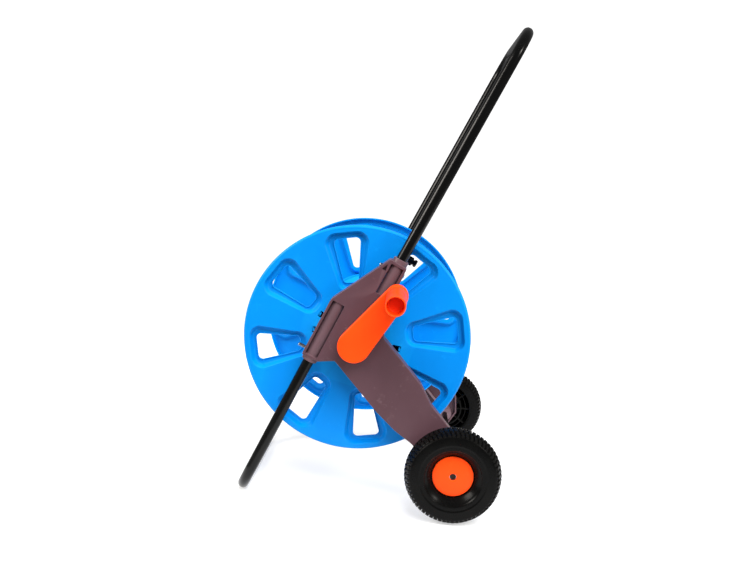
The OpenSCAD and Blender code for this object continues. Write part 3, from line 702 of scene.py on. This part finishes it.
def wheel(side):
    """Tyre, web and hub in one moulding, and the cap in the web's hollow."""
    def to(a, b, h):
        return (WHEEL.x + a, side * (WHEEL_IN + h), WHEEL.z + b)

    name = "near" if side < 0 else "far"
    shape = Shape()
    profile = [(54, 4), (55, 1.2), (57, 0.4), (60, 0), (69, 0), (71.6, 0.5), (72.6, 1.6)]
    profile += [(crown(w) - GROOVE, w + WHEEL_MID) for w in (-18, -14, -10, -5, 0, 5, 10, 14, 18)]
    profile += [(73.1, 40), (72.6, 40.9), (71.6, 41.5), (70, 41.8), (66, 42), (58.6, 42), (57.4, 41.8),
                (56.4, 41.3), (55.4, 41), (54, 40.9), (49.8, 40.6), (48.8, 40.2), (48.1, 39.3), (47.4, 38.4),
                (46.6, 37.8), (44, 36.2), (38.6, 30.4), (36.6, 27.6), (36, 25.8), (35.4, 25), (8, 25),
                (8, 22), (39, 22), (44, 26), (54, 34)]
    shape.lathe(profile, 160, to)
    shape.lathe(rounded_tube(AXLE_BORE_R, 14, -10.5, 23), 48, to)
    shape.lathe(rounded_tube(35, 38, 2, 23), 96, to)
    shape.lathe(rounded_tube(46, 47.6, 8, 27), 96, to)
    wheel_spokes(shape, to)
    tread_lugs(shape, to)
    shape.make(name + "_road_wheel", name + "_wheel", TYRE, [name + "_wheel"], 35)

    cap = Shape()
    cap.lathe([(6, 28.4), (6, 30.6), (6.5, 31), (8, 31.1), (16, 30.9), (24, 30.2), (30, 29.2), (33, 28.4),
               (34.2, 27.6), (34.6, 26.6), (34.2, 26), (33, 26.2), (28, 26.6), (28, 25.4), (25, 25.4),
               (25, 27.4), (7, 28)], 112, to)
    cap.make(name + "_wheel_cap", name + "_wheel", ORANGE, [name + "_hub_cap"], 40)


wheel(-1)
wheel(1)


# ------------------------------------------------------------ CAD nodes that stay

FINISHES = {
    "upper_drum_half": BLUE, "lower_drum_half": BLUE, "drive_spindle": BLACK, "water_spindle": BLACK,
    "hub_screws": ZINC, "swivel_seals": RUBBER, "inlet_connector": BLACK, "inlet_screws": ZINC,
    "crank_screw": ZINC, "grip_screw": ZINC, "axle_rod": SHADED_DRAWN, "axle_washers": ZINC, "axle_clips": BRIGHT}
for node, finish in FINISHES.items():
    ob = frame["nodes"][node]
    if not ob.material_slots:
        ob.data.materials.append(finish)
    for material_slot in ob.material_slots:
        material_slot.material = finish


# ------------------------------------------------------------ floor, light and camera

def floor():
    """A pale panel that glows a little, like a light table, so that shadows on it stay faint."""
    half, front, back = 1.1, -0.5, 1.3
    mesh = bpy.data.meshes.new("floor")
    mesh.from_pydata([(-half, front, 0), (half, front, 0), (half, back, 0), (-half, back, 0)], [],
                     [[0, 1, 2, 3]])
    n = Nodes("pale floor")
    shade = n.mix(n.noise(2.5, 3), (0.52, 0.52, 0.52, 1), (0.50, 0.50, 0.50, 1))
    mesh.materials.append(n.set(Base_Color=shade, Roughness=0.7, Emission_Color=(1, 1, 1, 1),
                                Emission_Strength=0.5))
    ob = bpy.data.objects.new("floor", mesh)
    bpy.context.scene.collection.objects.link(ob)


def area(name, place, target, size, power, colour):
    """A round soft box at a place, turned to a target."""
    light = bpy.data.lights.new(name, "AREA")
    light.shape, light.size, light.energy, light.color = "DISK", size, power, colour
    ob = bpy.data.objects.new(name, light)
    ob.location = place
    ob.rotation_mode = "QUATERNION"
    ob.rotation_quaternion = (Vector(target) - Vector(place)).to_track_quat("-Z", "Y")
    bpy.context.scene.collection.objects.link(ob)


def sun(name, towards, spread, strength):
    """Broad light from one direction that gives no highlights."""
    light = bpy.data.lights.new(name, "SUN")
    light.angle, light.energy = radians(spread), strength
    ob = bpy.data.objects.new(name, light)
    ob.rotation_mode = "QUATERNION"
    ob.rotation_quaternion = Vector(towards).to_track_quat("Z", "Y")
    ob.visible_glossy = False
    bpy.context.scene.collection.objects.link(ob)


floor()
sun("key", (0.36, -0.6, 1.0), 50, 5.9)
sun("fill", (0.7, -1.0, 0.6), 60, 0.5)
sun("top", (0.1, 0.1, 1.0), 70, 0.6)
MIDDLE = (0, 0, 0.4)
area("strip", (-2.1, -0.9, 1.7), MIDDLE, 1.2, 58, (1.0, 0.95, 0.88))
area("slim", (1.9, -1.3, 1.2), MIDDLE, 0.4, 16, (1.0, 0.96, 0.9))


def backdrop(surroundings, behind):
    """White surroundings, brighter where the camera looks straight at them."""
    world_light = bpy.data.worlds.new("studio")
    world_light.use_nodes = True
    nodes, links = world_light.node_tree.nodes, world_light.node_tree.links
    level = nodes.new("ShaderNodeMapRange")
    level.inputs[3].default_value = surroundings
    level.inputs[4].default_value = behind
    links.new(nodes.new("ShaderNodeLightPath").outputs["Is Camera Ray"], level.inputs[0])
    links.new(level.outputs[0], nodes["Background"].inputs["Strength"])
    nodes["Background"].inputs["Color"].default_value = (1, 1, 1, 1)
    return world_light


def camera(yaw, pitch, roll, focal, offset):
    """A camera at an offset from the reel's axis; angles in radians, metres from the axis."""
    ahead = Vector((sin(yaw) * cos(pitch), cos(yaw) * cos(pitch), -sin(pitch)))
    right = Vector((cos(yaw), -sin(yaw), 0))
    down = ahead.cross(right)
    x_axis = right * cos(roll) + down * sin(roll)
    y_axis = right * sin(roll) - down * cos(roll)
    place = AXIS + Vector(offset)
    lens = bpy.data.cameras.new("camera")
    lens.sensor_width, lens.lens = 36, focal
    ob = bpy.data.objects.new("camera", lens)
    columns = (x_axis, y_axis, -ahead, place)
    ob.matrix_world = Matrix([[c[i] for c in columns] for i in range(3)] + [[0, 0, 0, 1]])
    bpy.context.scene.collection.objects.link(ob)
    return ob


scene = bpy.context.scene
scene.world = backdrop(0.27, 1.15)
scene.view_settings.view_transform = "Standard"
scene.camera = camera(-0.0426, 0.1318, -0.0475, 38.053, (0.08577, -1.48938, 0.28532))
